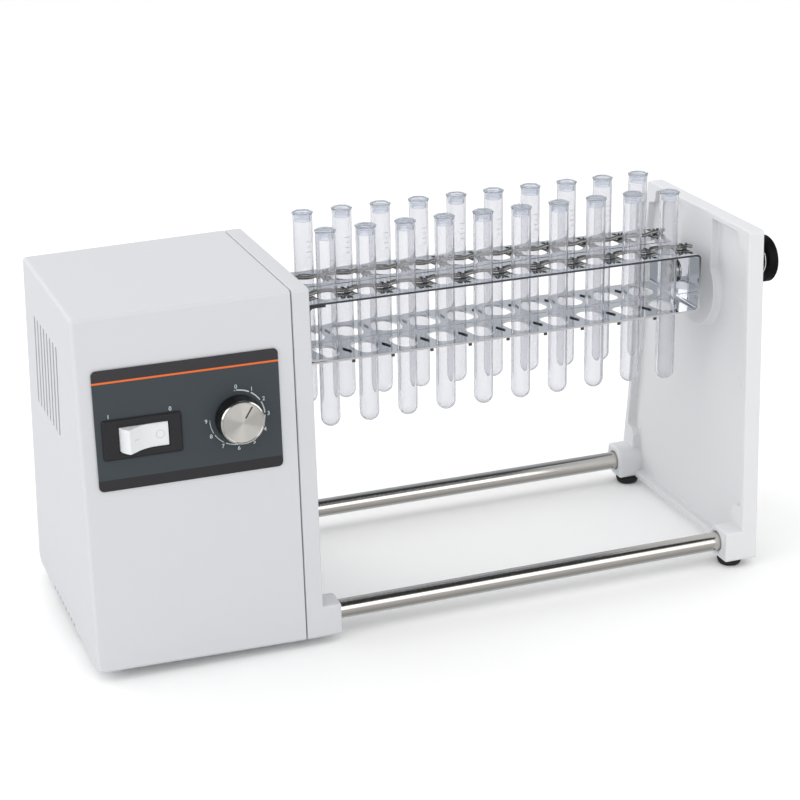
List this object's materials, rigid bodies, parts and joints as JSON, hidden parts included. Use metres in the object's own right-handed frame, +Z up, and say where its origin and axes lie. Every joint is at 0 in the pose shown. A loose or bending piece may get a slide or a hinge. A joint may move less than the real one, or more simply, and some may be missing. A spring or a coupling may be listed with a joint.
{
  "type": "overhead shaker",
  "caption": "Bench-top overhead shaker: a belt-driven rack held between two upright frames turns rows of clamped test tubes end over end.",
  "frame": {"origin": "on the bench plane under the middle of the whole object's box", "axes": "+X along the turning axis from the drive unit to the bearing plate and hand knob, +Y to the back away from the control panel, +Z up"},
  "size_m": [0.5892, 0.2256, 0.3001],
  "materials": {
    "powder_coat": "light grey fine-textured powder coat on sheet metal",
    "white_casting": "smooth matt white lacquer on cast end frames",
    "brushed_steel": "satin ground stainless steel",
    "polished_steel": "mirror-polished stainless steel sheet",
    "spring_wire": "dark drawn spring wire",
    "tube_glass": "clear glass with a pale translucent stopper",
    "panel_foil": "dark slate printed front foil",
    "black_plastic": "fine-grained black moulded plastic",
    "white_plastic": "white moulded plastic, lightly glossy",
    "foot_rubber": "black rubber",
    "belt_rubber": "black toothed belt",
    "motor_paint": "dark painted motor case",
    "circuit_board": "green solder mask",
    "pulley_aluminium": "turned aluminium"
  },
  "bodies": {
    "housing": {"drive_cover": "powder_coat", "left_frame": "white_casting", "right_frame": "white_casting", "rod_front": "brushed_steel", "rod_back": "brushed_steel", "rod_screw_front": "brushed_steel", "rod_screw_back": "brushed_steel", "control_panel": "panel_foil", "switch_bezel": "black_plastic", "switch_body": "black_plastic", "potentiometer_body": "brushed_steel", "control_board": "circuit_board", "mains_inlet": "black_plastic", "motor_body": "motor_paint", "motor_bracket": "brushed_steel", "left_bearing": "brushed_steel", "right_bush": "black_plastic", "pin_housing": "black_plastic", "drive_belt": "belt_rubber", "foot_left_front": "foot_rubber", "foot_left_back": "foot_rubber", "foot_right_front": "foot_rubber", "foot_right_back": "foot_rubber"},
    "rotor": {"output_shaft": "brushed_steel", "driven_pulley": "pulley_aluminium", "rack_bracket": "polished_steel", "rack_strip_front": "polished_steel", "rack_strip_back": "polished_steel", "rack_hub": "brushed_steel", "wave_spring_front": "spring_wire", "wave_spring_back": "spring_wire", "tube_front_01": "tube_glass", "tube_front_02": "tube_glass", "tube_front_03": "tube_glass", "tube_front_04": "tube_glass", "tube_front_05": "tube_glass", "tube_front_06": "tube_glass", "tube_front_07": "tube_glass", "tube_front_08": "tube_glass", "tube_front_09": "tube_glass", "tube_front_10": "tube_glass", "tube_back_01": "tube_glass", "tube_back_02": "tube_glass", "tube_back_03": "tube_glass", "tube_back_04": "tube_glass", "tube_back_05": "tube_glass", "tube_back_06": "tube_glass", "tube_back_07": "tube_glass", "tube_back_08": "tube_glass", "tube_back_09": "tube_glass", "tube_back_10": "tube_glass"},
    "motor_rotor": {"motor_shaft": "brushed_steel", "motor_pulley": "pulley_aluminium"},
    "speed_control": {"speed_knob": "black_plastic", "knob_cap": "brushed_steel", "potentiometer_shaft": "brushed_steel"},
    "power_switch": {"power_rocker": "white_plastic"},
    "release": {"bearing_pin": "brushed_steel", "hand_knob": "black_plastic", "pin_spring": "spring_wire"}
  },
  "joints": [
    {"name": "rotor_spin", "type": "hinge", "parent": "housing", "child": "rotor", "pos_m": [-0.29465, -0.01069, 0.2246], "axis": [1, 0, 0], "continuous": true},
    {"name": "motor_spin", "type": "hinge", "parent": "housing", "child": "motor_rotor", "pos_m": [-0.18, -0.01069, 0.091], "axis": [1, 0, 0], "continuous": true},
    {"name": "speed_knob_turn", "type": "hinge", "parent": "housing", "child": "speed_control", "pos_m": [-0.18076, -0.09771, 0.18824], "axis": [0.014, 0.9992, -0.0366], "range_deg": [-33, 237]},
    {"name": "power_rocker_tilt", "type": "hinge", "parent": "housing", "child": "power_switch", "pos_m": [-0.24935, -0.09617, 0.18468], "axis": [0, -0.0366, -0.9993], "range_deg": [0, 37.2]},
    {"name": "bearing_release", "type": "slide", "parent": "housing", "child": "release", "axis": [1, 0, 0], "range_m": [0, 0.012], "stiffness_N_per_m": 400, "springref_m": -0.012, "deforming": ["pin_spring"]}
  ],
  "couplings": [
    {"joint": "motor_spin", "follows": "rotor_spin", "ratio": 3}
  ]
}
